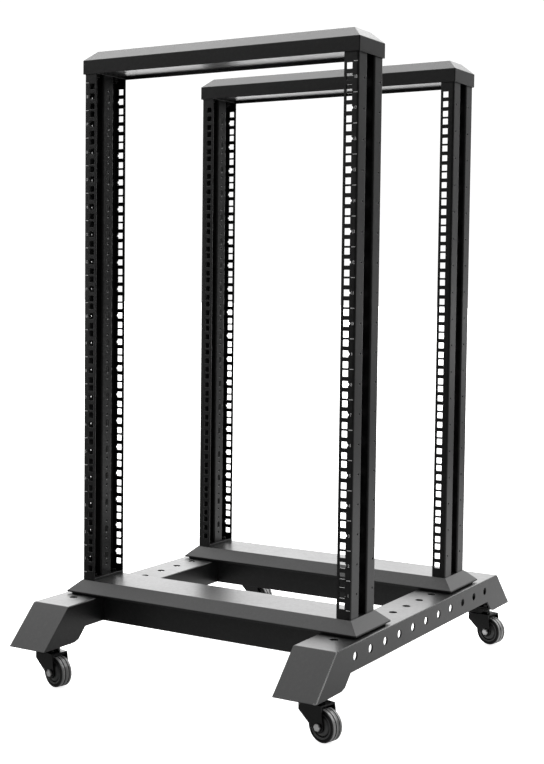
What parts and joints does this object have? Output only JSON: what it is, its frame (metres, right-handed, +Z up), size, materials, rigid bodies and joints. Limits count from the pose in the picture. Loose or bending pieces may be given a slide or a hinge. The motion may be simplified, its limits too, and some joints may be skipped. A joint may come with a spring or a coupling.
{
  "type": "equipment rack case",
  "caption": "Open-frame 19-inch equipment rack: slotted posts under bevelled caps on sloped-foot floor rails with swivel casters, for mounting audio gear.",
  "frame": {"origin": "on the floor, at the middle of the footprint of the rails and the two frames", "axes": "+Z up, +Y to the rear of the rack, +X to its right as seen from the front"},
  "size_m": [0.5634, 0.736, 1.0126],
  "materials": {
    "powder_black": "satin",
    "caster_black": "gloss",
    "zinc_steel": "satin",
    "black_steel": "satin",
    "wheel_core": "satin",
    "tyre_grey": "satin"
  },
  "bodies": {
    "rack": {"base_beam_front": "powder_black", "base_beam_rear": "powder_black", "base_cap_front": "powder_black", "base_cap_rear": "powder_black", "base_plate_front": "powder_black", "base_plate_rear": "powder_black", "base_rail_left": "powder_black", "base_rail_right": "powder_black", "caster_nuts": "black_steel", "caster_plate_front_left": "caster_black", "caster_plate_front_right": "caster_black", "caster_plate_rear_left": "caster_black", "caster_plate_rear_right": "caster_black", "caster_screws": "black_steel", "foot_floor_plates": "powder_black", "frame_nuts": "black_steel", "frame_screws": "black_steel", "kingpin_front_left": "black_steel", "kingpin_front_right": "black_steel", "kingpin_rear_left": "black_steel", "kingpin_rear_right": "black_steel", "post_foot_plates": "powder_black", "post_front_left": "powder_black", "post_front_right": "powder_black", "post_head_plates": "powder_black", "post_rear_left": "powder_black", "post_rear_right": "powder_black", "post_risers": "powder_black", "rail_bolts": "black_steel", "rail_nuts": "black_steel", "swivel_balls": "black_steel", "top_cap_front": "powder_black", "top_cap_rear": "powder_black", "top_plate_front": "powder_black", "top_plate_rear": "powder_black"},
    "fork_front_left": {"axle_bolt_front_left": "zinc_steel", "axle_nut_front_left": "zinc_steel", "axle_sleeve_front_left": "zinc_steel", "caster_fork_front_left": "caster_black"},
    "wheel_front_left": {"tyre_front_left": "tyre_grey", "wheel_core_front_left": "wheel_core"},
    "fork_front_right": {"axle_bolt_front_right": "zinc_steel", "axle_nut_front_right": "zinc_steel", "axle_sleeve_front_right": "zinc_steel", "caster_fork_front_right": "caster_black"},
    "wheel_front_right": {"tyre_front_right": "tyre_grey", "wheel_core_front_right": "wheel_core"},
    "fork_rear_left": {"axle_bolt_rear_left": "zinc_steel", "axle_nut_rear_left": "zinc_steel", "axle_sleeve_rear_left": "zinc_steel", "caster_fork_rear_left": "caster_black"},
    "wheel_rear_left": {"tyre_rear_left": "tyre_grey", "wheel_core_rear_left": "wheel_core"},
    "fork_rear_right": {"axle_bolt_rear_right": "zinc_steel", "axle_nut_rear_right": "zinc_steel", "axle_sleeve_rear_right": "zinc_steel", "caster_fork_rear_right": "caster_black"},
    "wheel_rear_right": {"tyre_rear_right": "tyre_grey", "wheel_core_rear_right": "wheel_core"}
  },
  "joints": [
    {"name": "swivel_front_left", "type": "hinge", "parent": "rack", "child": "fork_front_left", "pos_m": [-0.239, -0.315, 0.058], "axis": [0, 0, 1], "continuous": true},
    {"name": "spin_front_left", "type": "hinge", "parent": "fork_front_left", "child": "wheel_front_left", "pos_m": [-0.21377, -0.32129, 0.024], "axis": [0.2419, 0.9703, 0], "continuous": true},
    {"name": "swivel_front_right", "type": "hinge", "parent": "rack", "child": "fork_front_right", "pos_m": [0.239, -0.315, 0.058], "axis": [0, 0, 1], "continuous": true},
    {"name": "spin_front_right", "type": "hinge", "parent": "fork_front_right", "child": "wheel_front_right", "pos_m": [0.26423, -0.32129, 0.024], "axis": [0.2419, 0.9703, 0], "continuous": true},
    {"name": "swivel_rear_left", "type": "hinge", "parent": "rack", "child": "fork_rear_left", "pos_m": [-0.239, 0.315, 0.058], "axis": [0, 0, 1], "continuous": true},
    {"name": "spin_rear_left", "type": "hinge", "parent": "fork_rear_left", "child": "wheel_rear_left", "pos_m": [-0.21377, 0.30871, 0.024], "axis": [0.2419, 0.9703, 0], "continuous": true},
    {"name": "swivel_rear_right", "type": "hinge", "parent": "rack", "child": "fork_rear_right", "pos_m": [0.239, 0.315, 0.058], "axis": [0, 0, 1], "continuous": true},
    {"name": "spin_rear_right", "type": "hinge", "parent": "fork_rear_right", "child": "wheel_rear_right", "pos_m": [0.26423, 0.30871, 0.024], "axis": [0.2419, 0.9703, 0], "continuous": true}
  ]
}
